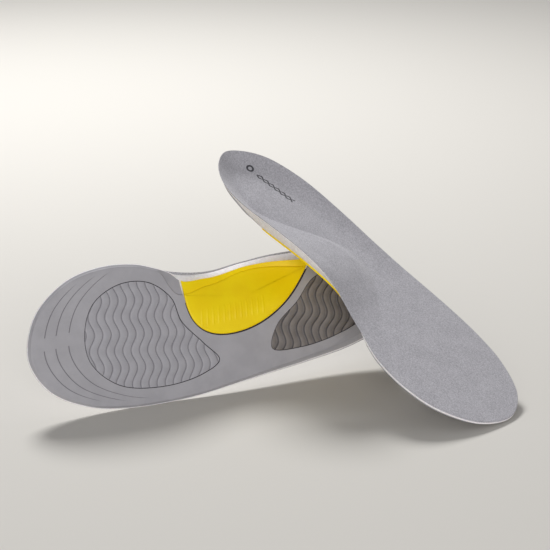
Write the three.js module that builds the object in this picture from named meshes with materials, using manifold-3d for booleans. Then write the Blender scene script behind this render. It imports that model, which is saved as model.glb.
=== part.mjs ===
// A pair of cushioned insoles, millimetres, +Z up. The right one stands on its outer edge and leans back;
// the left one lies across it with its toe on the floor. Each insole is a glued stack: a grey base with a
// moulded arch shell and two gel pads let into its underside, a white cushion foam and a brushed cover.
import * as THREE from "three";
import { mergeVertices } from "three/addons/utils/BufferGeometryUtils.js";
import Module from "manifold-3d";

const wasm = await Module();
wasm.setup();

// ---- driving sizes of one insole, in its own frame: X heel to toe, Y to the inner side, Z from sole to foot
const length = 280; // heel back to toe tip, over the cover
const ballWidth = 101; // across the ball of the foot, over the cover
const edgeThickness = 4.4; // whole stack round the forefoot
const heelFloor = 5.6; // whole stack under the heel
const heelCupHeight = 13.1; // rim of the heel cup above the underside
const heelCupBand = 16; // how far the cup's wall reaches in from its rim
const archRise = 12.7; // what the inner rim gains at the arch
const archReach = 42; // how far the arch hump spreads beyond the cup's band
const archLift = 10.2; // lift of the underside at the arch's inner edge
const archLiftBand = 32; // how far in from the edge that lift fades out
const coverThickness = 0.8;
const coverInset = 0.9; // the cover stops this far short of the foam's edge
const baseThickness = 2.1;
const heelBaseEdge = 5; // height of the grey wall round the heel
const glueLine = 0.4; // free space between two layers
const heelFlare = 3.3; // slope of the edge: the rim stands out this far beyond the underside at the heel
const forefootFlare = 1.75; // and this far round the forefoot
const waistTuck = 3.4; // extra slope where the arch runs out into the ball
const shellRecess = 0.5; // the arch shell lies this deep in the base
const padThickness = 0.9;
const padRecess = 1.2; // depth of the pads' pockets in the base
const fitGap = 0.35; // clearance round the shell and the pads

// ---- how the pair is set down
const rightHeading = 203.7; // degrees, toe direction in plan
const rightNoseDown = 4.6;
const rightRoll = 109.9;
const leftHeading = -34.5;
const leftRoll = 3.6;
const leftToeFromRightHeel = [0.2247, -0.405]; // in plan, as shares of the length
const restGap = 0.3; // left insole above the right one
const steepestSlope = 60; // degrees, bound of the search for the left insole's slope

const ribs = 28; // cross sections of a layer
const ribSteps = 9; // steps across one section

// Half-widths of the foot outline as shares of the ball width, at shares of the length.
const heelBack = -0.021;
const toeTip = 0.045;
const stations = [
  { along: 0.023, inner: 0.134, outer: 0.175 },
  { along: 0.069, inner: 0.25, outer: 0.294 },
  { along: 0.158, inner: 0.346, outer: 0.37 },
  { along: 0.305, inner: 0.387, outer: 0.407 },
  { along: 0.405, inner: 0.381, outer: 0.419 },
  { along: 0.505, inner: 0.37, outer: 0.434 },
  { along: 0.601, inner: 0.419, outer: 0.447 },
  { along: 0.697, inner: 0.526, outer: 0.44 },
  { along: 0.787, inner: 0.554, outer: 0.414 },
  { along: 0.876, inner: 0.504, outer: 0.35 },
  { along: 0.965, inner: 0.318, outer: 0.188 },
];

const radians = THREE.MathUtils.degToRad;
const { clamp, smoothstep } = THREE.MathUtils;

// 1 at q = 0, 0 from q = 1 on, level at both ends.
const fade = (q) => 1 - smoothstep(q, 0, 1);

// A round hump along the insole: 1 at the centre, 0 at each reach.
function hump(along, centre, heelReach, toeReach) {
  const q = along < centre ? (centre - along) / heelReach : (along - centre) / toeReach;
  return q < 1 ? Math.cos((q * Math.PI) / 2) ** 2 : 0;
}

const heelShare = (along) => fade((along - 0.13) / 0.5); // 1 at the heel, 0 from the ball on
const archShare = (along) => hump(along, 0.4, 0.34, 0.29);
const liftShare = (along) => hump(along, 0.4, 0.28, 0.27);
const tuckShare = (along) => hump(along, 0.6, 0.15, 0.1);

// ---- outlines in plan
function sideCurve(side) {
  const rows = side > 0 ? stations.map((s) => [s.along, s.inner]) : stations.map((s) => [s.along, -s.outer]);
  return rows.map(([along, y]) => new THREE.Vector3(along * length, y * ballWidth, 0));
}
const heelPoint = new THREE.Vector3(0, heelBack * ballWidth, 0);
const toePoint = new THREE.Vector3(length, toeTip * ballWidth, 0);
const rim = new THREE.CatmullRomCurve3(
  [heelPoint, ...sideCurve(-1), toePoint, ...sideCurve(1).reverse()],
  true,
  "centripetal",
);

// Rib s runs from 0 at the heel back to 1 at the toe tip; side is 1 on the inner edge, -1 on the outer.
function rimPoint(s, side) {
  return rim.getPoint(side > 0 ? (1 - s / 2) % 1 : s / 2);
}

function edgeSlope(along, side) {
  const flare = THREE.MathUtils.lerp(forefootFlare, heelFlare, heelShare(along));
  return side > 0 ? flare + waistTuck * tuckShare(along) : flare;
}

// The rim moved inwards along its own normal.
function insetPoint(s, side, share, extra) {
  const turn = side > 0 ? (1 - s / 2) % 1 : s / 2;
  const p = rim.getPoint(turn);
  const t = rim.getTangent(turn);
  const by = share * edgeSlope(p.x / length, side) + extra;
  return new THREE.Vector2(p.x - t.y * by, p.y + t.x * by);
}

// Ribs of one outline: share 1 is the underside's edge, 0 the rim.
function outline(share, extra = 0) {
  const at = (s, side) => insetPoint(s, side, share, extra);
  return Array.from({ length: ribs + 1 }, (_, i) => {
    const s = (1 - Math.cos((Math.PI * i) / ribs)) / 2;
    return { outer: at(0.25 * s + 0.75 * (i / ribs), -1), inner: at(0.25 * s + 0.75 * (i / ribs), 1) };
  });
}

const rimRibs = Array.from({ length: 121 }, (_, i) => [rimPoint(i / 120, -1), rimPoint(i / 120, 1)]);

// Distance in plan from a point to the rim, and to its inner side alone.
function rimDistance(x, y) {
  let least = Infinity;
  for (const pair of rimRibs) for (const p of pair) least = Math.min(least, Math.hypot(p.x - x, p.y - y));
  return least;
}
function innerDistance(x, y) {
  const i = rimRibs.findIndex(([, p]) => p.x > x);
  const [a, b] = i > 0 ? [rimRibs[i - 1][1], rimRibs[i][1]] : [rimRibs[0][1], rimRibs[0][1]];
  const q = b.x > a.x ? (x - a.x) / (b.x - a.x) : 0;
  return Math.max(0, THREE.MathUtils.lerp(a.y, b.y, q) - y);
}

// ---- the surfaces between the layers, each a height over the plan
function underside(x, y) {
  const along = clamp(x / length, 0, 1);
  const slope = edgeSlope(along, 1);
  return archLift * liftShare(along) * fade((innerDistance(x, y) - slope) / archLiftBand);
}

function topSide(x, y) {
  const along = clamp(x / length, 0, 1);
  const heel = heelShare(along);
  const floor = THREE.MathUtils.lerp(edgeThickness, heelFloor, heel);
  const cup = (heelCupHeight - heelFloor) * heel * fade(rimDistance(x, y) / heelCupBand);
  const reach = heelCupBand + archReach * hump(along, 0.42, 0.27, 0.3);
  return floor + cup + archRise * archShare(along) * fade(innerDistance(x, y) / reach);
}

function baseTop(x, y) {
  const along = clamp(x / length, 0, 1);
  const wall = (heelBaseEdge - baseThickness) * heelShare(along) * (1 - liftShare(along));
  return underside(x, y) + baseThickness + wall * fade(rimDistance(x, y) / heelCupBand);
}

const foamTop = (x, y) => topSide(x, y) - coverThickness;

// ---- solids
// A closed layer between two height surfaces, each on its own outline: ribs across, poles at heel and toe.
function layer(lower, lowerHeight, upper, upperHeight) {
  const points = [];
  const faces = [];
  const sheet = (outlineRibs, height) => {
    const first = points.length / 3;
    const put = (p) => points.push(p.x, p.y, height(p.x, p.y));
    put(outlineRibs[0].outer);
    for (let i = 1; i < ribs; i++) {
      for (let j = 0; j <= ribSteps; j++) {
        const t = (1 - Math.cos((Math.PI * j) / ribSteps)) / 2;
        put(outlineRibs[i].outer.clone().lerp(outlineRibs[i].inner, t));
      }
    }
    put(outlineRibs[ribs].outer);
    return (i, j) => first + (i === 0 ? 0 : i === ribs ? (ribs - 1) * (ribSteps + 1) + 1 : 1 + (i - 1) * (ribSteps + 1) + j);
  };
  const quad = (a, b, c, d) => {
    if (a !== b && b !== c && a !== c) faces.push(a, b, c);
    if (a !== c && c !== d && a !== d) faces.push(a, c, d);
  };
  const below = sheet(lower, lowerHeight);
  const above = sheet(upper, upperHeight);
  for (let i = 0; i < ribs; i++) {
    for (let j = 0; j < ribSteps; j++) {
      quad(above(i, j), above(i + 1, j), above(i + 1, j + 1), above(i, j + 1));
      quad(below(i, j), below(i, j + 1), below(i + 1, j + 1), below(i + 1, j));
    }
    quad(below(i, 0), below(i + 1, 0), above(i + 1, 0), above(i, 0));
    quad(above(i, ribSteps), above(i + 1, ribSteps), below(i + 1, ribSteps), below(i, ribSteps));
  }
  return new wasm.Manifold(
    new wasm.Mesh({
      numProp: 3,
      vertProperties: new Float32Array(points),
      triVerts: new Uint32Array(faces),
    }),
  );
}

// A plan shape carried straight up through the whole insole, as a cutter.
function prism(shape) {
  const depth = 4 * heelCupHeight;
  const flat = new THREE.ExtrudeGeometry(shape, { depth, bevelEnabled: false, curveSegments: 10 });
  flat.translate(0, 0, -depth / 2);
  flat.deleteAttribute("normal");
  flat.deleteAttribute("uv");
  const merged = mergeVertices(flat);
  return new wasm.Manifold(
    new wasm.Mesh({
      numProp: 3,
      vertProperties: merged.attributes.position.array,
      triVerts: new Uint32Array(merged.index.array),
    }),
  );
}

// The arch shell in plan: a D whose straight side runs out past the inner edge.
function shellShape(grow) {
  const x = (share) => share * length;
  const y = (share) => share * ballWidth;
  const shape = new THREE.Shape();
  shape.moveTo(x(0.212) - grow, y(0.6));
  shape.lineTo(x(0.212) - grow, y(0.396));
  shape.bezierCurveTo(x(0.29), y(0.079) - grow, x(0.383), y(-0.079) - grow, x(0.476), y(-0.079) - grow);
  shape.bezierCurveTo(x(0.55), y(-0.079) - grow, x(0.587) + grow, y(0.02), x(0.587) + grow, y(0.2));
  shape.lineTo(x(0.587) + grow, y(0.6));
  shape.closePath();
  return shape;
}

// A closed smooth shape through points given as shares of length and ball width, shrunk towards its middle.
function blobShape(rows, shrink) {
  const points = rows.map(([along, y]) => new THREE.Vector3(along * length, y * ballWidth, 0));
  const centre = points.reduce((sum, p) => sum.add(p), new THREE.Vector3()).divideScalar(points.length);
  const inwards = (p) => p.clone().sub(centre).setLength(p.distanceTo(centre) - shrink);
  const curve = new THREE.CatmullRomCurve3(points.map((p) => inwards(p).add(centre)), true, "centripetal");
  return new THREE.Shape(curve.getSpacedPoints(3 * rows.length).slice(1));
}

const forefootPad = [
  [0.533, -0.238],
  [0.583, -0.307],
  [0.69, -0.327],
  [0.797, -0.248],
  [0.855, -0.059],
  [0.854, 0.149],
  [0.818, 0.327],
  [0.744, 0.416],
  [0.672, 0.386],
  [0.622, 0.248],
  [0.609, 0.079],
  [0.565, -0.099],
];
const heelPad = [
  [0.393, -0.248],
  [0.369, -0.099],
  [0.304, 0.03],
  [0.243, 0.168],
  [0.165, 0.208],
  [0.093, 0.129],
  [0.075, -0.03],
  [0.125, -0.178],
  [0.208, -0.257],
  [0.315, -0.287],
];

function solids() {
  const halfGlue = glueLine / 2;
  const raised = (height, by) => (x, y) => height(x, y) + by;
  const baseRibs = [outline(1), outline(0.6)];
  const lowerLayer = layer(baseRibs[0], underside, baseRibs[1], raised(baseTop, -halfGlue));
  const shellLayer = layer(baseRibs[0], raised(underside, shellRecess), baseRibs[1], raised(baseTop, -halfGlue));
  const padLayer = layer(baseRibs[0], underside, baseRibs[0], raised(underside, padThickness));
  const pocketLayer = layer(baseRibs[0], raised(underside, -1), baseRibs[0], raised(underside, padRecess));
  const pads = { forefoot_pad: forefootPad, heel_pad: heelPad };
  const made = {};
  made.base_foam = lowerLayer.subtract(prism(shellShape(fitGap)));
  for (const [name, rows] of Object.entries(pads)) {
    made[name] = padLayer.intersect(prism(blobShape(rows, fitGap)));
    made.base_foam = made.base_foam.subtract(pocketLayer.intersect(prism(blobShape(rows, 0))));
  }
  made.arch_shell = shellLayer.intersect(prism(shellShape(0)));
  made.cushion_foam = layer(outline(0.6), raised(baseTop, halfGlue), outline(0.1), raised(foamTop, -halfGlue));
  made.top_cover = layer(outline(0.1, coverInset), raised(foamTop, halfGlue), outline(0, coverInset), topSide);
  return made;
}

// ---- looks and placing
const finishes = {
  base_foam: { color: 0x9c9a9f, roughness: 0.75 },
  forefoot_pad: { color: 0x98969b, roughness: 0.55 },
  heel_pad: { color: 0x77716f, roughness: 0.55 },
  arch_shell: { color: 0xf0d205, roughness: 0.4 },
  cushion_foam: { color: 0xe3dfe0, roughness: 0.85 },
  top_cover: { color: 0xa9a7ae, roughness: 0.95 },
};

function geometryOf(solid, mirrored) {
  const mesh = solid.getMesh();
  const index = new Uint32Array(mesh.triVerts);
  const geometry = new THREE.BufferGeometry();
  geometry.setAttribute("position", new THREE.BufferAttribute(new Float32Array(mesh.vertProperties), 3));
  geometry.setIndex(new THREE.BufferAttribute(index, 1));
  if (mirrored) {
    geometry.scale(1, -1, 1);
    for (let i = 0; i < index.length; i += 3) [index[i + 1], index[i + 2]] = [index[i + 2], index[i + 1]];
  }
  return geometry;
}

function insole(side, made) {
  const group = new THREE.Group();
  for (const [name, solid] of Object.entries(made)) {
    const material = new THREE.MeshStandardMaterial({ ...finishes[name], metalness: 0 });
    const mesh = new THREE.Mesh(geometryOf(solid, side === "left"), material);
    mesh.name = `${side}_${name}`;
    group.add(mesh);
  }
  return group;
}

// Turns a group and lowers it until its lowest point is on the floor, with one of its points above (x, y).
function setDown(group, heading, noseDown, roll, ownPoint, x, y) {
  group.rotation.set(radians(roll), radians(noseDown), radians(heading), "ZYX");
  group.position.set(0, 0, 0);
  group.updateMatrixWorld(true);
  const at = ownPoint.clone().applyMatrix4(group.matrixWorld);
  group.position.set(x - at.x, y - at.y, -new THREE.Box3().setFromObject(group, true).min.z);
  group.updateMatrixWorld(true);
}

function placedSolid(group) {
  const parts = group.children.map((mesh) => {
    const geometry = mesh.geometry.clone().applyMatrix4(mesh.matrixWorld);
    return new wasm.Manifold(
      new wasm.Mesh({
        numProp: 3,
        vertProperties: geometry.attributes.position.array,
        triVerts: new Uint32Array(geometry.index.array),
      }),
    );
  });
  return wasm.Manifold.compose(parts);
}

// The slope at which the left insole, toe on the floor, lies on the right one.
function leanLeft(left, right) {
  const [x, y] = leftToeFromRightHeel.map((share) => share * length);
  const leftToe = toePoint.clone().multiply(new THREE.Vector3(1, -1, 1));
  const under = placedSolid(right);
  let clear = steepestSlope;
  let touching = 0;
  while (clear - touching > 0.02) {
    const slope = (clear + touching) / 2;
    setDown(left, leftHeading, slope, leftRoll, leftToe, x, y);
    if (placedSolid(left).minGap(under, 2 * restGap) < restGap) touching = slope;
    else clear = slope;
  }
  setDown(left, leftHeading, clear, leftRoll, leftToe, x, y);
}

const made = solids();
const right = insole("right", made);
const left = insole("left", made);
setDown(right, rightHeading, rightNoseDown, rightRoll, heelPoint, 0, 0);
leanLeft(left, right);

// The pair's origin is the middle of its footprint, on the floor.
const pair = new THREE.Group();
pair.add(right, left);
const box = new THREE.Box3().setFromObject(pair, true);
const middle = box.getCenter(new THREE.Vector3());
for (const group of [right, left]) group.position.sub(new THREE.Vector3(middle.x, middle.y, box.min.z));

export default pair;
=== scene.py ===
from functools import partial
from math import radians

import bpy
import numpy as np
from mathutils import Euler, Matrix, Vector


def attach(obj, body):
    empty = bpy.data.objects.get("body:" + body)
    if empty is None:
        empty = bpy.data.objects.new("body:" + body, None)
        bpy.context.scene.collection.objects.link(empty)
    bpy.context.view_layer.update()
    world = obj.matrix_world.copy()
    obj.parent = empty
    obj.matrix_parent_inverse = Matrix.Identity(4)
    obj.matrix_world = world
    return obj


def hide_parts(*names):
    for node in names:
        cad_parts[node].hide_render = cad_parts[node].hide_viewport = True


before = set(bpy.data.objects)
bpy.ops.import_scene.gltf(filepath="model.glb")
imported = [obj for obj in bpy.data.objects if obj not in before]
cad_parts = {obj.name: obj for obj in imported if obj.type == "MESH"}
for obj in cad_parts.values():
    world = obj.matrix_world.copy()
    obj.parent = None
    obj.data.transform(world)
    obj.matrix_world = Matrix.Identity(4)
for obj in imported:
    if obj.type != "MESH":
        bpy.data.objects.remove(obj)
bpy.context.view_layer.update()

# A pair of cushioned insoles: the right one stands on its outer edge with its underside to the front, the left
# one lies across it with its cover up. One insole is modelled in its own frame in millimetres, x from heel to
# toe, y to the inner side and z from sole to foot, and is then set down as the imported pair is.

# ---- sizes of one insole, millimetres
LENGTH = 280.0
WIDTH = 101.0  # across the ball
EDGE_THICKNESS = 4.4  # of the forefoot
HEEL_FLOOR = 5.6  # height of the top side in the middle of the heel
CUP_HEIGHT = 13.1  # and at the heel's rim
CUP_BAND = 17.0  # width of the cup's wall
ARCH_RISE = 12.7  # height of the arch above the rest of the top side
ARCH_BAND = 16.0  # width of the arch's slope at its ends
ARCH_REACH = 42.0  # and how much wider it is in the middle
ARCH_LIFT = 10.2  # height of the underside at the arch's edge
ARCH_LIFT_BAND = 32.0  # width of its slope
COVER = 0.8  # thickness of the fabric
BASE = 2.1  # thickness of the base foam
OUTER_FOAM = 0.5  # foam left to see between the base and the cover along the outer side
HEEL_FLARE = 6.0  # how far the rim stands out beyond the underside's edge at the heel
FOREFOOT_FLARE = 1.75  # and at the forefoot
RIM_STACK = 4.4  # whole stack at the heel's rim, where the underside curves up like a bowl
FLOOR_STACK = 6.2  # and in the middle of the heel
ARCH_STACK = 9.0  # what the stack gains from the heel to the arch
POCKET_DEPTH = 1.7  # of the pockets for the pads
PAD_THICKNESS = 1.65
PAD_GAP = 0.45  # from a pad to the wall of its pocket
SHELL_RECESS = 1.0  # the arch shell's face lies this deep in the base
SHELL_GAP = 1.0  # from the arch shell to the base
FOREFOOT_GROOVE = 0.55  # depth of the grooves
HEEL_GROOVE = 1.1
RIB_HEIGHT = 0.16
RIB_PITCH = 4.2
RIBS_X = (107.0, 157.4)  # where the row of ribs on the arch shell starts and ends
RIBS_Y = (1.0, 12.0)  # and where each of them does

# Places along the foot: centre, reach towards the heel and reach towards the toe, as shares of the length.
ARCH_AT = (0.4, 0.34, 0.29)
ARCH_REACH_AT = (0.42, 0.27, 0.3)
ARCH_LIFT_AT = (0.4, 0.28, 0.27)
# Where the underside's edge lies further in on the inner side, and by how many millimetres.
TUCKS = (
    (2.6, 0.38, 0.36, 0.26),  # along the arch
    (9.0, 0.586, 0.2, 0.055),  # where the arch shell ends
    (4.5, 0.586, 0.07, 0.055),  # more of it right at the shell's corner
    (6.0, 0.2, 0.18, 0.2),  # at the heel
)

# Half-widths of the outline as shares of the ball width, at shares of the length.
ALONG = np.array([0.023, 0.069, 0.158, 0.305, 0.405, 0.505, 0.601, 0.697, 0.787, 0.876, 0.965])
INNER = np.array([0.134, 0.25, 0.346, 0.387, 0.381, 0.37, 0.419, 0.526, 0.554, 0.504, 0.318])
OUTER = np.array([0.175, 0.294, 0.37, 0.407, 0.419, 0.434, 0.447, 0.44, 0.414, 0.35, 0.188])
HEEL_BACK = -0.021  # y of the rim's first and last points, as shares of the ball width
TOE_TIP = 0.045

# Points of the pads' outlines, as shares of the length and of the ball width.
FOREFOOT_PAD = [
    (0.533, -0.238), (0.583, -0.307), (0.69, -0.327), (0.797, -0.248), (0.855, -0.059), (0.854, 0.149),
    (0.818, 0.327), (0.744, 0.416), (0.672, 0.386), (0.622, 0.248), (0.609, 0.079), (0.565, -0.099),
]
HEEL_PAD = [
    (0.393, -0.248), (0.369, -0.099), (0.304, 0.03), (0.243, 0.168), (0.165, 0.208),
    (0.093, 0.129), (0.075, -0.03), (0.125, -0.178), (0.208, -0.257), (0.315, -0.287),
]
# Bezier points of the arch shell's round side, from the heel end over its lowest point to the toe end.
SHELL_HEELWARD = [(0.212, 0.396), (0.29, 0.079), (0.383, -0.079), (0.476, -0.079)]
SHELL_TOEWARD = [(0.476, -0.079), (0.55, -0.079), (0.587, 0.02), (0.587, 0.2)]

AROUND = 640  # points round a rim


# ---- shape functions
def fade(q):
    """1 at q = 0 and 0 from q = 1 on, level at both ends: 1 - (3 q^2 - 2 q^3)."""
    q = np.clip(q, 0, 1)
    return 1 - q * q * (3 - 2 * q)


def lerp(a, b, q):
    return a + (b - a) * q


def hump(along, centre, heel_reach, toe_reach):
    """cos^2(q pi / 2), where q is the distance from the centre in heelward or toeward reaches, 0 beyond."""
    q = np.where(along < centre, (centre - along) / heel_reach, (along - centre) / toe_reach)
    return np.where(q < 1, np.cos(np.clip(q, 0, 1) * np.pi / 2) ** 2, 0)


def closed_curve(knots, turn):
    """Closed Catmull-Rom curve through the knots, which are spaced by their chords to the power 1/2. Turn runs
    from 0 to 1 once round it."""
    knots = np.asarray(knots, float)
    at = (turn % 1) * len(knots)
    i = np.floor(at).astype(int)
    w = (at - i)[:, None]
    p0, p1, p2, p3 = (knots[(i + k) % len(knots)] for k in (-1, 0, 1, 2))
    d0, d1, d2 = (np.linalg.norm(b - a, axis=1)[:, None] ** 0.5 for a, b in ((p0, p1), (p1, p2), (p2, p3)))
    leave = ((p1 - p0) / d0 - (p2 - p0) / (d0 + d1) + (p2 - p1) / d1) * d1
    arrive = ((p2 - p1) / d1 - (p3 - p1) / (d1 + d2) + (p3 - p2) / d2) * d1
    ahead = w * w * (3 - 2 * w)
    return lerp(p1, p2, ahead) + w * (1 - w) ** 2 * leave + w * w * (w - 1) * arrive


def inward_normal(loop):
    """Left-hand normal of a closed counter-clockwise loop of plan points, from its central differences."""
    t = np.roll(loop, -1, 0) - np.roll(loop, 1, 0)
    t /= np.linalg.norm(t, axis=1)[:, None]
    return np.stack([-t[:, 1], t[:, 0]], 1)


def even_loop(points, count, soften=0):
    """The closed polyline resampled at equal arc lengths, then averaged over 2 soften + 1 neighbours."""
    ring = np.vstack([points, points[:1]])
    run = np.concatenate([[0], np.cumsum(np.linalg.norm(np.diff(ring, axis=0), axis=1))])
    at = np.arange(count) / count * run[-1]
    loop = np.stack([np.interp(at, run, ring[:, 0]), np.interp(at, run, ring[:, 1])], 1)
    return sum(np.roll(loop, k, 0) for k in range(-soften, soften + 1)) / (2 * soften + 1)


outer_side = np.stack([ALONG * LENGTH, -OUTER * WIDTH], 1)
inner_side = np.stack([ALONG * LENGTH, INNER * WIDTH], 1)
RIM_KNOTS = np.vstack([(0, HEEL_BACK * WIDTH), outer_side, (LENGTH, TOE_TIP * WIDTH), inner_side[::-1]])
TURN = np.arange(AROUND) / AROUND
RIM = closed_curve(RIM_KNOTS, TURN)
RIM_NORMAL = inward_normal(closed_curve(RIM_KNOTS, np.arange(4 * AROUND) / (4 * AROUND)))[::4]
half = AROUND // 2
OUTER_X, OUTER_Y = RIM[: half + 1, 0], RIM[: half + 1, 1]
INNER_X, INNER_Y = RIM[half:, 0][::-1], RIM[half:, 1][::-1]


def heel_share(along):
    """1 at the back of the heel, from 13 % of the length on less and less, and 0 beyond 63 %."""
    return fade((along - 0.13) / 0.5)


def edge_slope(x, inner):
    """How far the rim stands out beyond the underside: wide at the heel, with tucks along the inner side."""
    along = x / LENGTH
    tuck = sum(size * hump(along, *at) for size, *at in TUCKS)
    return lerp(FOREFOOT_FLARE, HEEL_FLARE, heel_share(along)) + inner * tuck


def outline(share, extra=0.0):
    """The rim moved in along its normal by share of the edge's slope plus extra. Share 1 is the underside's
    edge."""
    inner = np.where(TURN > 0.5, 1.0, 0.0)
    return RIM + RIM_NORMAL * (share * edge_slope(RIM[:, 0], inner) + extra)[:, None]


def rim_distance(x, y):
    """Distance in plan to the nearest piece of the rim, a polyline of a quarter of the rim's points."""
    a = RIM[::4]
    d = np.roll(a, -1, 0) - a
    flat = np.stack([np.ravel(x), np.ravel(y)], 1)
    least = np.full(len(flat), 1e9)
    for a0, d0 in zip(a, d):
        p = flat - a0
        t = np.clip((p @ d0) / (d0 @ d0), 0, 1)
        q = p - t[:, None] * d0
        least = np.minimum(least, np.einsum("ij,ij->i", q, q))
    return np.sqrt(least).reshape(np.shape(x))


def inner_distance(x, y):
    """Distance across the foot from the rim's inner side, 0 outside it."""
    return np.maximum(0, np.interp(x, INNER_X, INNER_Y) - y)


def underside(x, y):
    """The higher of two lifts a and b, (a + b + sqrt((a - b)^2 + 0.8^2)) / 2, which blends them over 0.8 mm:
    along the arch's inner edge, lift * hump * fade(distance from it / band), and round the heel, the top side
    less the stack's thickness, which grows towards the arch from 12 to 38 % of the length."""
    along = np.clip(x / LENGTH, 0, 1)
    near = fade((inner_distance(x, y) - edge_slope(x, 0.0)) / ARCH_LIFT_BAND)
    arch = ARCH_LIFT * hump(along, *ARCH_LIFT_AT) * near
    stack = lerp(FLOOR_STACK, RIM_STACK, fade(rim_distance(x, y) / CUP_BAND))
    bowl = top_side(x, y) - stack - ARCH_STACK * (1 - fade((along - 0.12) / 0.26))
    return (arch + bowl + np.sqrt((arch - bowl) ** 2 + 0.8**2)) / 2


def base_top(x, y):
    """The underside plus the base's thickness. Along the outer side it climbs to just under the cover, within
    9 mm of the rim, where y is under -6 to -20 mm, and as far as 45 to 75 % of the length."""
    along = np.clip(x / LENGTH, 0, 1)
    climb = fade((y + 20) / 14) * fade(rim_distance(x, y) / 9) * fade((along - 0.45) / 0.3)
    plain = underside(x, y) + BASE
    return lerp(plain, np.maximum(top_side(x, y) - COVER - OUTER_FOAM, plain), climb)


def top_side(x, y):
    """A flat forefoot, a cup wall round the heel of (1 - distance from the rim / band)^1.7, and the arch. The
    arch is a hump along the foot, with a front that is 70 % a steeper fade, and across the foot it falls away
    from the inner side in a long fade and, for 32 % of it, a short one at the foot of the slope."""
    along = np.clip(x / LENGTH, 0, 1)
    heel = heel_share(along)
    cup = (CUP_HEIGHT - HEEL_FLOOR) * heel * (1 - np.clip(rim_distance(x, y) / CUP_BAND, 0, 1)) ** 1.7
    q = inner_distance(x, y) / (ARCH_BAND + ARCH_REACH * hump(along, *ARCH_REACH_AT))
    across = 0.68 * fade(q) + 0.32 * fade((q - 0.76) / 0.24)
    back = hump(along, *ARCH_AT)
    front = 0.7 * fade((along - 0.41) / 0.2) + 0.3 * back
    arch = ARCH_RISE * np.where(along < ARCH_AT[0], back, front) * across
    return lerp(EDGE_THICKNESS, HEEL_FLOOR, heel) + cup + arch


def interface():
    """Share of the edge's slope at which the base meets the foam: 0.4 to 0.6 at the arch, 0.25 on the outer
    side and 0.1 on the inner side of the forefoot, with fades between them."""
    along = RIM[:, 0] / LENGTH
    inner = lerp(0.1, lerp(0.4, 0.6, hump(along, 0.35, 0.6, 0.3)), fade((along - 0.57) / 0.05))
    return lerp(0.25, inner, 1 - fade((RIM[:, 1] + 8) / 16))


# ---- meshes
def raised(height, by):
    return lambda x, y: height(x, y) + by


def with_height(loop, height, lift=0.0):
    """Plan points (..., 2) with z = height(x, y) + lift."""
    x, y = loop[..., 0], loop[..., 1]
    return np.concatenate([loop, (height(x, y) + lift)[..., None]], -1)


def between(loop, middle, steps, ease=1.0):
    """Plan rings from a loop (not included) to its middle: loop + (middle - loop) (j / steps)^ease, for j = 1
    to steps."""
    q = (np.arange(1, steps + 1) / steps)[:, None, None] ** ease
    return loop[None] + (middle[None] - loop[None]) * q


def closed_mesh(name, rings, folded):
    """One closed solid from rings (rows, around, 3) that run from the middle of the upper side over the edge
    to the middle of the lower side. If folded, point k of an end ring is also its point around - k, so that
    the ring closes on a line. If not, it is one point."""
    rows, around, _ = rings.shape
    k = np.arange(around)
    end = np.minimum(k, around - k) if folded else np.zeros(around, int)
    used = end.max() + 1
    body = used + np.arange((rows - 2) * around).reshape(rows - 2, around)
    index = np.vstack([end, body, used + (rows - 2) * around + end])
    points = np.concatenate([rings[0, :used], rings[1:-1].reshape(-1, 3), rings[-1, :used]])
    a, b = index[:-1], index[1:]
    quads = np.stack([a, b, np.roll(b, -1, 1), np.roll(a, -1, 1)], -1)
    if folded:
        faces = quads.reshape(-1, 4).tolist()
    else:
        fans = quads[0][:, :3].tolist() + quads[-1][:, [0, 1, 3]].tolist()
        faces = quads[1:-1].reshape(-1, 4).tolist() + fans
    mesh = bpy.data.meshes.new(name)
    mesh.from_pydata(points.tolist(), [], faces)
    mesh.validate()
    return mesh


def cut(mesh, cutter):
    """The mesh minus the cutter, by an exact Boolean."""
    target, tool = (bpy.data.objects.new(m.name, m) for m in (mesh, cutter))
    for o in (target, tool):
        bpy.context.scene.collection.objects.link(o)
    boolean = target.modifiers.new("cut", "BOOLEAN")
    boolean.operation = "DIFFERENCE"
    boolean.solver = "EXACT"
    boolean.object = tool
    result = bpy.data.meshes.new_from_object(target.evaluated_get(bpy.context.evaluated_depsgraph_get()))
    for o in (target, tool):
        bpy.data.objects.remove(o)
    return result


# The spine that the rings of a whole layer shrink to: the middle line between both sides, ends pulled in.
partner = np.roll(RIM[::-1], 1, 0)
spine_x = LENGTH * lerp(0.15, 0.85, (RIM[:, 0] + partner[:, 0]) / (2 * LENGTH))
spine_y = (np.interp(spine_x, OUTER_X, OUTER_Y) + np.interp(spine_x, INNER_X, INNER_Y)) / 2
SPINE = np.stack([spine_x, spine_y], 1)


def whole_layer(name, upper, upper_height, edge, lower, lower_height, fine_top, fine_bottom):
    """A layer over the whole insole: upper rings from the spine out, the edge's rings, lower rings back."""
    top = with_height(between(upper, SPINE, fine_top, 1.15)[::-1], upper_height)
    bottom = with_height(between(lower, SPINE, fine_bottom, 1.15), lower_height)
    return closed_mesh(name, np.concatenate([top, edge, bottom]), True)


def cover_mesh():
    """Fabric cover: its upper side rolls over the edge to the foam."""
    upper, lower = outline(0, 0.85), outline(0, 0.7)
    edge = [with_height(upper, top_side)]
    for inset, drop in ((0.5, 0.07), (0.27, 0.22), (0.16, 0.42), (0.2, 0.62), (0.42, 0.77), (0.7, COVER)):
        edge.append(with_height(outline(0, inset), top_side, -drop))
    edge = np.stack(edge)
    return whole_layer("cover", upper, top_side, edge, lower, raised(top_side, -COVER), 56, 8)


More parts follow.
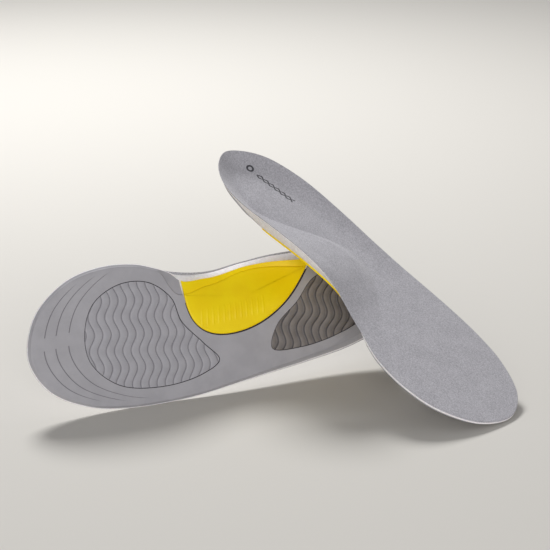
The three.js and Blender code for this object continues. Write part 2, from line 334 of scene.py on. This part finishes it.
def cushion_mesh():
    """Cushion foam: its side bulges by 0.3 sin(pi t) mm between the cover and the base."""
    rows = []
    for t in np.linspace(0, 1, 13):
        corner = 0.35 * (abs(2 * t - 1) ** 6)
        loop = outline(lerp(0.1, interface(), t), corner + 0.15 - 0.3 * np.sin(np.pi * t))
        high = with_height(loop, top_side, -COVER)
        low = with_height(loop, base_top)
        rows.append(lerp(high, low, t))
    upper, lower = outline(0.1, 0.5), outline(interface(), 0.5)
    return whole_layer("cushion", upper, raised(top_side, -COVER), np.stack(rows), lower, base_top, 8, 8)


def base_mesh():
    """Base foam: a sloping side with a rounded lower edge."""
    rows = []
    for t in (0, 0.35, 0.7):
        loop = outline(lerp(interface(), 0.93, t), 0.25 * (t == 0))
        rows.append(lerp(with_height(loop, base_top), with_height(loop, underside, 1.1), t))
    for inset, lift in ((0.0, 1.1), (0.08, 0.65), (0.3, 0.3), (0.62, 0.09), (1.05, 0.0)):
        rows.append(with_height(outline(1, inset - 0.2), underside, lift))
    upper, lower = outline(interface(), 0.5), outline(1, 0.85)
    return whole_layer("base", upper, base_top, np.stack(rows), lower, underside, 8, 44)


def slab_mesh(name, upper, upper_height, lower, lower_height, corner=0.3, fine=110):
    """A plate between two closed outlines of as many points: its rings shrink to the lower one's middle."""
    middle = np.broadcast_to(lower.mean(0), lower.shape)
    shrink = lambda loop, by: loop + inward_normal(loop) * by
    top = with_height(between(shrink(upper, corner), middle, 8)[::-1], upper_height)
    edge = [with_height(shrink(upper, corner), upper_height), with_height(upper, upper_height, -corner)]
    for q in (0.1, 0.4, 0.7, 1.0):
        angle = q * np.pi / 2
        rim = shrink(lower, corner * (1 - np.cos(angle)))
        edge.append(with_height(rim, lower_height, corner * (1 - np.sin(angle))))
    bottom = with_height(between(shrink(lower, corner), middle, fine), lower_height)
    return closed_mesh(name, np.concatenate([top, np.stack(edge), bottom]), False)


def pad_outline(rows, shrink=0.0):
    """A closed curve through the pad's points, in 720 equal steps, moved in by shrink."""
    loop = closed_curve([(a * LENGTH, b * WIDTH) for a, b in rows], np.arange(2400) / 2400)
    loop = even_loop(loop, 720, 3)
    return loop + inward_normal(loop) * shrink


def edge_fade(x, y, loop, width):
    """0 on the outline, 1 from width inside it on."""
    middle = loop.mean(0)
    turn = np.arctan2(loop[:, 1] - middle[1], loop[:, 0] - middle[0])
    order = np.argsort(turn)
    reach = np.linalg.norm(loop - middle, axis=1)[order]
    here = np.interp(np.arctan2(y - middle[1], x - middle[0]), turn[order], reach, period=2 * np.pi)
    return 1 - fade((here - np.hypot(x - middle[0], y - middle[1])) / width)


def wave_phase(x, y, tilt, spacing, amplitude, wavelength, start):
    """Groove number (u - start - amplitude sin(2 pi v / wavelength)) / spacing, where u runs across the
    grooves and v along them, both tilted by tilt degrees."""
    c, s = np.cos(radians(tilt)), np.sin(radians(tilt))
    u, v = x * c + y * s, -x * s + y * c
    return (u - start - amplitude * np.sin(2 * np.pi * v / wavelength)) / spacing


FOREFOOT_WAVES = dict(tilt=10, spacing=5.8, amplitude=2.0, wavelength=23.0, start=1.0)
HEEL_WAVES = dict(tilt=20, spacing=5.7, amplitude=2.4, wavelength=25.0, start=2.0)


def forefoot_relief(x, y):
    """Narrow V grooves at whole groove numbers: depth * fade(distance / 0.75 mm), fading out at the edge."""
    n = wave_phase(x, y, **FOREFOOT_WAVES)
    near = np.abs(n - np.round(n)) * FOREFOOT_WAVES["spacing"]
    return FOREFOOT_GROOVE * fade(near / 0.75) * edge_fade(x, y, pad_outline(FOREFOOT_PAD), 1.6)


def heel_relief(x, y):
    """Terraces: each band falls away slowly over 84 % of its width and ends in a steep step."""
    n = wave_phase(x, y, **HEEL_WAVES)
    q = n - np.floor(n)
    step = np.where(q < 0.16, fade(1 - q / 0.16), 1 - (q - 0.16) / 0.84)
    return HEEL_GROOVE * step**1.5 * edge_fade(x, y, pad_outline(HEEL_PAD), 2.0)


def shell_outline(share, grow=0.0, past=0.0):
    """The arch shell in plan: a D of two Bezier arcs whose straight side follows the inner edge, at this share
    of its slope and past beyond it. The arcs can grow outwards."""
    t = np.linspace(0, 1, 400)[:, None]
    arc = lambda a, b, c, d: (1 - t) ** 3 * a + 3 * (1 - t) ** 2 * t * b + 3 * (1 - t) * t**2 * c + t**3 * d
    heelward, toeward = (np.array(points) * (LENGTH, WIDTH) for points in (SHELL_HEELWARD, SHELL_TOEWARD))
    start, end = heelward[0], toeward[3]
    straight = lerp(end, end + (0, 0.26 * WIDTH), t)
    belly = np.vstack([arc(*heelward), arc(*toeward)[1:], straight[1:]])
    edge = outline(share)[half:][::-1]
    side = lambda x: np.interp(x, edge[:, 0], edge[:, 1]) + past
    if grow:
        ring = np.vstack([belly, [(end[0], 0.9 * WIDTH), (start[0], 0.9 * WIDTH)]])
        belly = belly - inward_normal(ring)[: len(belly)] * grow
    belly = belly[belly[:, 1] < side(belly[:, 0])]
    x = np.linspace(belly[-1, 0], belly[0, 0], 400)
    return even_loop(np.vstack([belly, np.stack([x, side(x)], 1)]), 720, 2)


def shell_under(x, y):
    """The shell's face: set into the base, with a row of short slanted ribs, each height * exp(-(distance /
    0.6 mm)^2), that fades over 2 mm at the ends of the row and over 3 mm at the ends of each rib."""
    u = x + 0.2 * (y - 7)
    near = (u - RIBS_X[0]) % RIB_PITCH - RIB_PITCH / 2
    row = fade((RIBS_X[0] - u) / 2 + 0.5) * fade((u - RIBS_X[1]) / 2 + 0.5)
    ends = fade((RIBS_Y[0] - y) / 3 + 0.5) * fade((y - RIBS_Y[1]) / 3 + 0.5)
    return underside(x, y) + SHELL_RECESS - RIB_HEIGHT * np.exp(-((near / 0.6) ** 2)) * row * ends


PADS = (("forefoot_pad", FOREFOOT_PAD, forefoot_relief), ("heel_pad", HEEL_PAD, heel_relief))


def insole_meshes():
    """The six layers of one insole in its own frame. The base is cut through for the shell and has a pocket
    for each pad. The cutters stand 2 mm or more out of the base on the sides that they open."""
    made = {"top_cover": cover_mesh(), "cushion_foam": cushion_mesh()}
    hole = shell_outline(1, grow=SHELL_GAP, past=14)
    space = slab_mesh("shell_space", hole, raised(base_top, 12), hole, raised(underside, -8), 0.01, 6)
    base = cut(base_mesh(), space)
    for name, rows, relief in PADS:
        hole = pad_outline(rows)
        roof = raised(underside, POCKET_DEPTH)
        pocket = slab_mesh("pocket", hole, roof, hole, raised(underside, -2), 0.01, 30)
        base = cut(base, pocket)
        loop = pad_outline(rows, PAD_GAP)
        face = lambda x, y, relief=relief: underside(x, y) + relief(x, y)
        made[name] = slab_mesh(name, loop, raised(underside, PAD_THICKNESS), loop, face)
    made["base_foam"] = base
    top, bottom = shell_outline(interface()), shell_outline(1)
    made["arch_shell"] = slab_mesh("arch_shell", top, base_top, bottom, shell_under, 1.0, 120)
    return made


def add_places(mesh):
    """Attributes for the materials: place, each point's own-frame position in millimetres; toe, how far it is
    heelward of the toe edge; edge, its distance to the rim in plan, less the tuck on the inner side; and
    depth, how far it is above the underside."""
    co = np.zeros(len(mesh.vertices) * 3, np.float32)
    mesh.vertices.foreach_get("co", co)
    co = co.reshape(-1, 3).astype(float)
    rim = outline(1)
    front = rim[rim[:, 0] > 0.8 * LENGTH]
    order = np.argsort(front[:, 1])
    toe = np.interp(co[:, 1], front[order, 1], front[order, 0]) - co[:, 0]
    depth = np.clip(co[:, 2] - underside(co[:, 0], co[:, 1]), 0, 3)
    tuck = edge_slope(co[:, 0], 1.0) - edge_slope(co[:, 0], 0.0)
    edge = rim_distance(co[:, 0], co[:, 1]) - np.where(co[:, 1] > 0, tuck, 0)
    place = mesh.attributes.new("place", "FLOAT_VECTOR", "POINT")
    place.data.foreach_set("vector", co.astype(np.float32).ravel())
    for name, values in (("toe", toe), ("edge", edge), ("depth", depth)):
        mesh.attributes.new(name, "FLOAT", "POINT").data.foreach_set("value", values.astype(np.float32))


# ---- materials
# Patterns are on the attribute place, in millimetres: a texture's Scale is 1 over the width of its blobs.
SMOOTH = {"interpolation_type": "SMOOTHSTEP"}  # a map range that eases from one end to the other
BLEND = {"data_type": "RGBA", "out": 2}  # a mix of two colours, which go into its sockets 6 and 7


def colour(code):
    """sRGB hex to linear: c / 12.92 up to 0.04045, else ((c + 0.055) / 1.055)^2.4."""
    c = np.array([int(code[i : i + 2], 16) for i in (0, 2, 4)]) / 255
    c = np.where(c <= 0.04045, c / 12.92, ((c + 0.055) / 1.055) ** 2.4)
    return (*c, 1.0)


def add(tree, kind, inputs=(), out=0, **settings):
    """A shader node with its settings. Its inputs are values or the outputs that feed them, in a list from the
    first socket on or in a dict by the socket's name or number. Gives back the output with the number out, or
    all of them for None."""
    made = tree.nodes.new("ShaderNode" + kind)
    for name, value in settings.items():
        setattr(made, name, value)
    for key, value in inputs.items() if isinstance(inputs, dict) else enumerate(inputs):
        if isinstance(value, bpy.types.NodeSocket):
            tree.links.new(value, made.inputs[key])
        else:
            made.inputs[key].default_value = value
    return made.outputs if out is None else made.outputs[out]


def new_material(name):
    """An empty material, and add with its node tree filled in."""
    material = bpy.data.materials.new(name)
    material.use_nodes = True
    material.node_tree.nodes.clear()
    return material, partial(add, material.node_tree)


def finish_material(node, sockets, height=None, depth=0.0, strength=1.0):
    """The surface, a Principled shader with the given sockets; height bumps it by depth metres."""
    if height is not None:
        sockets["Normal"] = node("Bump", {"Height": height, "Distance": depth, "Strength": strength})
    surface = node("BsdfPrincipled", sockets)
    node("OutputMaterial", [surface], out=None)


def brushed_polyester():
    """Short raised nap: mottled light and dark tufts, a soft sheen, and a printed mark at the heel. Its fibres
    of 0.02 mm are too fine to show, so the nap is drawn as tufts 1 mm and 0.4 mm wide."""
    material, node = new_material("brushed_polyester")
    place = node("Attribute", out=1, attribute_name="place")
    tufts = node("TexNoise", {"Vector": place, "Scale": 0.95, "Detail": 4, "Roughness": 0.75})
    fine = node("TexNoise", {"Vector": place, "Scale": 2.6, "Detail": 2, "Roughness": 0.6})
    broad = node("TexNoise", {"Vector": place, "Scale": 0.09, "Detail": 2, "Roughness": 0.5})
    # 0.65 tufts + 0.35 fine + 0.1 (broad - 0.5)
    shade = node("Math", [fine, 0.35, -0.05], operation="MULTIPLY_ADD")
    shade = node("Math", [tufts, 0.65, shade], operation="MULTIPLY_ADD")
    shade = node("Math", [broad, 0.1, shade], operation="MULTIPLY_ADD")
    light = node("MapRange", [shade, 0.34, 0.66], **SMOOTH)
    nap = node("Mix", {0: light, 6: colour("99979d"), 7: colour("c7c5cb")}, **BLEND)
    # The mark: two crossing ink waves after a ring, slanted towards the outer edge. Its middle line is
    # v = y + 0.13 x + 11.38 = 0, and the waves are v = +-1.5 sin(0.62 x) from x = 25 to 58 mm.
    x, y, _ = node("SeparateXYZ", [place], out=None)
    v = node("Math", [x, 0.13, 11.38], operation="MULTIPLY_ADD")
    v = node("Math", [v, y], operation="ADD")
    turn = node("Math", [x, 0.62], operation="MULTIPLY")
    swing = node("Math", [turn], operation="SINE")
    ink = 0.0
    for reach in (1.5, -1.5):
        off = node("Math", [swing, reach, v], operation="MULTIPLY_ADD")
        off = node("Math", [off], operation="ABSOLUTE")
        line = node("MapRange", [off, 0.55, 0.8, 1.0, 0.0], **SMOOTH)
        ink = node("Math", [ink, line], operation="MAXIMUM")
    for low, high, before, after in ((24.5, 25.0, 0.0, 1.0), (58.0, 58.5, 1.0, 0.0)):
        span = node("MapRange", [x, low, high, before, after], **SMOOTH)
        ink = node("Math", [ink, span], operation="MULTIPLY")
    # The ring: 2.2 mm round the point x = 18, v = 0.
    ahead = node("Math", [x, 18.0], operation="SUBTRACT")
    spot = node("CombineXYZ", [ahead, v])
    away = node("VectorMath", [spot], out=1, operation="LENGTH")
    away = node("Math", [away, 2.2], operation="SUBTRACT")
    away = node("Math", [away], operation="ABSOLUTE")
    ring = node("MapRange", [away, 0.6, 0.85, 1.0, 0.0], **SMOOTH)
    ink = node("Math", [ink, ring], operation="MAXIMUM")
    ink = node("Math", [ink, 0.93], operation="MULTIPLY")
    surface = node("Mix", {0: ink, 6: nap, 7: colour("3c3b40")}, **BLEND)
    height = node("Math", [fine, 0.6, tufts], operation="MULTIPLY_ADD")
    sockets = {"Base Color": surface, "Roughness": 0.95, "Sheen Weight": 0.25, "Sheen Roughness": 0.5}
    finish_material(node, sockets | {"Specular IOR Level": 0.2}, height, 0.00035, 0.55)
    return material


def cushion_polyurethane():
    """Skived open-cell foam: warm white and dull, with painted shade on the face that the base hides, where
    it shows through the gap round the shell. The pores, 0.2 mm in the real foam, are drawn 0.45 mm wide so
    that they show."""
    material, node = new_material("cushion_polyurethane")
    place = node("Attribute", out=1, attribute_name="place")
    edge = node("Attribute", out=2, attribute_name="edge")
    pores = node("TexVoronoi", {"Vector": place, "Scale": 2.2})
    cloud = node("TexNoise", {"Vector": place, "Scale": 0.5, "Detail": 3, "Roughness": 0.5})
    light = node("MapRange", [cloud, 0.3, 0.7], **SMOOTH)
    foam = node("Mix", {0: light, 6: colour("eae5e6"), 7: colour("f6f3f4")}, **BLEND)
    # Painted shade: beyond 7 to 8 mm from the rim the face under the base is drawn dark grey, so that it reads
    # as shade in the gap.
    painted_gap_shade = node("MapRange", [edge, 7.0, 8.0], **SMOOTH)
    surface = node("Mix", {0: painted_gap_shade, 6: foam, 7: colour("45454c")}, **BLEND)
    sockets = {"Base Color": surface, "Roughness": 0.9, "Specular IOR Level": 0.25}
    sockets |= {"Subsurface Weight": 0.05, "Subsurface Scale": 0.002}
    finish_material(node, sockets, pores, 0.00015, 0.5)
    return material


def moulded_foam_rubber():
    """Moulded closed-cell base: smooth grey skin with faint clouds, three thin sunk trim lines at the toe
    drawn darker as painted shade, and painted shade down the sides of the gaps."""
    material, node = new_material("moulded_foam_rubber")
    place = node("Attribute", out=1, attribute_name="place")
    toe, edge, depth = (node("Attribute", out=2, attribute_name=name) for name in ("toe", "edge", "depth"))
    cloud = node("TexNoise", {"Vector": place, "Scale": 0.06, "Detail": 3, "Roughness": 0.6})
    grain = node("TexNoise", {"Vector": place, "Scale": 2.0, "Detail": 3, "Roughness": 0.6})
    light = node("MapRange", [cloud, 0.3, 0.7], **SMOOTH)
    skin = node("Mix", {0: light, 6: colour("a4a2a7"), 7: colour("adabb0")}, **BLEND)
    speck = node("MapRange", [grain, 0.3, 0.7, 0.0, 0.25], **SMOOTH)
    skin = node("Mix", {0: speck, 6: skin, 7: colour("9c9a9f")}, **BLEND)
    # Each trim line runs a fixed way back from the toe edge and as far heelward as its reach. None runs over
    # the edge, up the side or through the middle, where the size would stand.
    x, y, z = node("SeparateXYZ", [place], out=None)
    lines = 0.0
    for back, reach in ((9.6, 238.0), (17.6, 222.0), (26.6, 207.0)):
        off = node("Math", [toe, back], operation="SUBTRACT")
        off = node("Math", [off], operation="ABSOLUTE")
        line = node("MapRange", [off, 0.12, 0.5, 1.0, 0.0], **SMOOTH)
        end = node("MapRange", [x, reach - 5, reach + 4], **SMOOTH)
        line = node("Math", [line, end], operation="MULTIPLY")
        lines = node("Math", [lines, line], operation="MAXIMUM")
    middle = node("Math", [y, 13.0], operation="SUBTRACT")
    middle = node("Math", [middle], operation="ABSOLUTE")
    for limits in ([edge, 4.5, 7.0], [middle, 4.0, 4.5], [z, 0.6, 1.0, 1.0, 0.0]):
        kept = node("MapRange", limits, **SMOOTH)
        lines = node("Math", [lines, kept], operation="MULTIPLY")
    # The trim lines are sunk by the bump below and drawn 70 % of the way to dark grey: painted shade in them.
    drawn = node("Math", [lines, 0.7], operation="MULTIPLY")
    surface = node("Mix", {0: drawn, 6: skin, 7: colour("5f5d63")}, **BLEND)
    # Painted shade down the sides of the gaps round the pads and the shell: above the underside, darker with
    # depth, and away from the base's side.
    painted_wall_shade = node("MapRange", [depth, 0.15, 1.3], **SMOOTH)
    within = node("MapRange", [edge, 6.5, 8.0], **SMOOTH)
    painted_wall_shade = node("Math", [painted_wall_shade, within], operation="MULTIPLY")
    surface = node("Mix", {0: painted_wall_shade, 6: surface, 7: colour("3a3a42")}, **BLEND)
    sunk = node("Math", [lines, -1.0], operation="MULTIPLY")
    height = node("Math", [grain, 0.12, sunk], operation="MULTIPLY_ADD")
    sockets = {"Base Color": surface, "Roughness": 0.62, "Specular IOR Level": 0.35}
    finish_material(node, sockets, height, 0.0004, 0.6)
    return material


def gel_rubber(name, light, dark, waves, deep, edge):
    """Soft gel rubber: satin skin with painted shade in the wavy grooves, and painted shading across each
    band, dark after its groove and light before the next. The grooves are those of wave_phase. Edge is the
    share of their spacing that is shaded, and deep is how dark it gets."""
    material, node = new_material(name)
    place = node("Attribute", out=1, attribute_name="place")
    cloud = node("TexNoise", {"Vector": place, "Scale": 0.12, "Detail": 3, "Roughness": 0.6})
    grain = node("TexNoise", {"Vector": place, "Scale": 2.2, "Detail": 2, "Roughness": 0.5})
    x, y, _ = node("SeparateXYZ", [place], out=None)
    c, s = np.cos(radians(waves["tilt"])), np.sin(radians(waves["tilt"]))
    u = node("Math", [y, s], operation="MULTIPLY")
    u = node("Math", [x, c, u], operation="MULTIPLY_ADD")
    v = node("Math", [x, -s], operation="MULTIPLY")
    v = node("Math", [y, c, v], operation="MULTIPLY_ADD")
    turn = node("Math", [v, 2 * np.pi / waves["wavelength"]], operation="MULTIPLY")
    swing = node("Math", [turn], operation="SINE")
    u = node("Math", [swing, -waves["amplitude"], u], operation="MULTIPLY_ADD")
    u = node("Math", [u, waves["start"]], operation="SUBTRACT")
    phase = node("Math", [u, waves["spacing"]], operation="DIVIDE")
    part = node("Math", [phase], operation="FRACT")
    rest = node("Math", [1.0, part], operation="SUBTRACT")
    near = node("Math", [part, rest], operation="MINIMUM")
    # Painted shade in the grooves: darkest at each groove, gone at edge of the spacing.
    groove = node("MapRange", [near, 0.0, edge, deep, 0.0], **SMOOTH)
    cloudy = node("MapRange", [cloud, 0.3, 0.7], **SMOOTH)
    skin = node("Mix", {0: cloudy, 6: colour(light), 7: colour(dark)}, **BLEND)
    # Painted shading across each band: darkest just after its groove, lighter towards the next.
    painted_band_shade = node("Math", [rest, deep * 0.45], operation="MULTIPLY")
    skin = node("Mix", {0: painted_band_shade, 6: skin, 7: colour("3a393d")}, **BLEND)
    surface = node("Mix", {0: groove, 6: skin, 7: colour("2f2e33")}, **BLEND)
    sockets = {"Base Color": surface, "Roughness": 0.5, "Specular IOR Level": 0.4}
    finish_material(node, sockets, grain, 0.0001, 0.3)
    return material


def satin_thermoplastic():
    """Moulded arch shell: even yellow with a soft sheen. Its spark-eroded texture of 0.1 mm is drawn with
    blobs 0.6 mm wide, which only soften the gloss."""
    material, node = new_material("satin_thermoplastic")
    place = node("Attribute", out=1, attribute_name="place")
    grain = node("TexNoise", {"Vector": place, "Scale": 1.6, "Detail": 3, "Roughness": 0.6})
    cloud = node("TexNoise", {"Vector": place, "Scale": 0.05, "Detail": 2, "Roughness": 0.5})
    light = node("MapRange", [cloud, 0.3, 0.7], **SMOOTH)
    surface = node("Mix", {0: light, 6: colour("fbd900"), 7: colour("ffe205")}, **BLEND)
    sockets = {"Base Color": surface, "Roughness": 0.42, "Specular IOR Level": 0.3}
    finish_material(node, sockets, grain, 0.00008, 0.4)
    return material


MATERIALS = {
    "top_cover": brushed_polyester(),
    "cushion_foam": cushion_polyurethane(),
    "base_foam": moulded_foam_rubber(),
    "forefoot_pad": gel_rubber("forefoot_gel", "adabb1", "a5a3a9", FOREFOOT_WAVES, 0.4, 0.09),
    "heel_pad": gel_rubber("heel_gel", "948e8c", "888280", HEEL_WAVES, 0.85, 0.13),
    "arch_shell": satin_thermoplastic(),
}

# ---- the two insoles, set down as packed
# Turns about x, y and z in degrees, where the own origin goes in millimetres, and 1 or, mirrored in y, -1.
PLACES = {
    "right": ((109.9, 4.6, 203.7), (93.547, 48.300, 58.422), 1),
    "left": ((3.6, 29.458, -34.5), (-41.338, 76.052, 137.091), -1),
}


def set_down(mesh, side):
    """The mesh in the row frame in metres: mirrored in y for the left foot, turned, then moved."""
    turns, origin, hand = PLACES[side]
    copy = mesh.copy()
    turned = Euler([radians(a) for a in turns], "XYZ").to_matrix().to_4x4()
    mirror = Matrix.Diagonal((0.001, 0.001 * hand, 0.001, 1))
    copy.transform(Matrix.Translation(Vector(origin) * 0.001) @ turned @ mirror)
    if hand < 0:
        copy.flip_normals()
    return copy


made = insole_meshes()
for name, mesh in made.items():
    add_places(mesh)
    mesh.shade_smooth()
    mesh.set_sharp_from_angle(angle=radians(38))
    mesh.materials.clear()
    mesh.materials.append(MATERIALS[name])

for side in ("right", "left"):
    for name in ("base_foam", "forefoot_pad", "heel_pad", "arch_shell", "cushion_foam", "top_cover"):
        piece = bpy.data.objects.new(f"{side}_{name}_look", set_down(made[name], side))
        bpy.context.scene.collection.objects.link(piece)
        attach(piece, f"{side}_insole")
        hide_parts(f"{side}_{name}")

# ---- floor, light and camera
floor_mesh = bpy.data.meshes.new("floor")
floor_mesh.from_pydata([(-5, -3, 0), (5, -3, 0), (5, 9, 0), (-5, 9, 0)], [], [(0, 1, 2, 3)])
paper, paper_node = new_material("pale_paper")
finish_material(paper_node, {"Base Color": colour("d6d3cd"), "Roughness": 0.9, "Specular IOR Level": 0.2})
floor_mesh.materials.append(paper)
floor = bpy.data.objects.new("floor", floor_mesh)
bpy.context.scene.collection.objects.link(floor)


def area_light(name, place, aim, size, power):
    light = bpy.data.lights.new(name, "AREA")
    light.shape = "DISK"
    light.size = size
    light.energy = power
    holder = bpy.data.objects.new(name, light)
    holder.location = place
    holder.rotation_euler = (Vector(aim) - Vector(place)).to_track_quat("-Z", "Y").to_euler()
    bpy.context.scene.collection.objects.link(holder)


area_light("key", (-0.45, 1.15, 1.35), (0, 0, 0.05), 0.6, 28)
area_light("fill", (0.15, -1.9, 0.4), (0, 0, 0.05), 1.3, 20.5)

world = bpy.data.worlds.new("studio")
world.use_nodes = True
world.node_tree.nodes["Background"].inputs["Color"].default_value = colour("f4f4f6")
world.node_tree.nodes["Background"].inputs["Strength"].default_value = 0.3
bpy.context.scene.world = world
bpy.context.scene.view_settings.view_transform = "Standard"

lens = bpy.data.cameras.new("camera")
lens.sensor_width = 36
lens.lens = 109.41
camera = bpy.data.objects.new("camera", lens)
camera.location = (0.0002, -1.0924, 0.4546)
camera.rotation_euler = (radians(71.047), 0, 0)
bpy.context.scene.collection.objects.link(camera)
bpy.context.scene.camera = camera
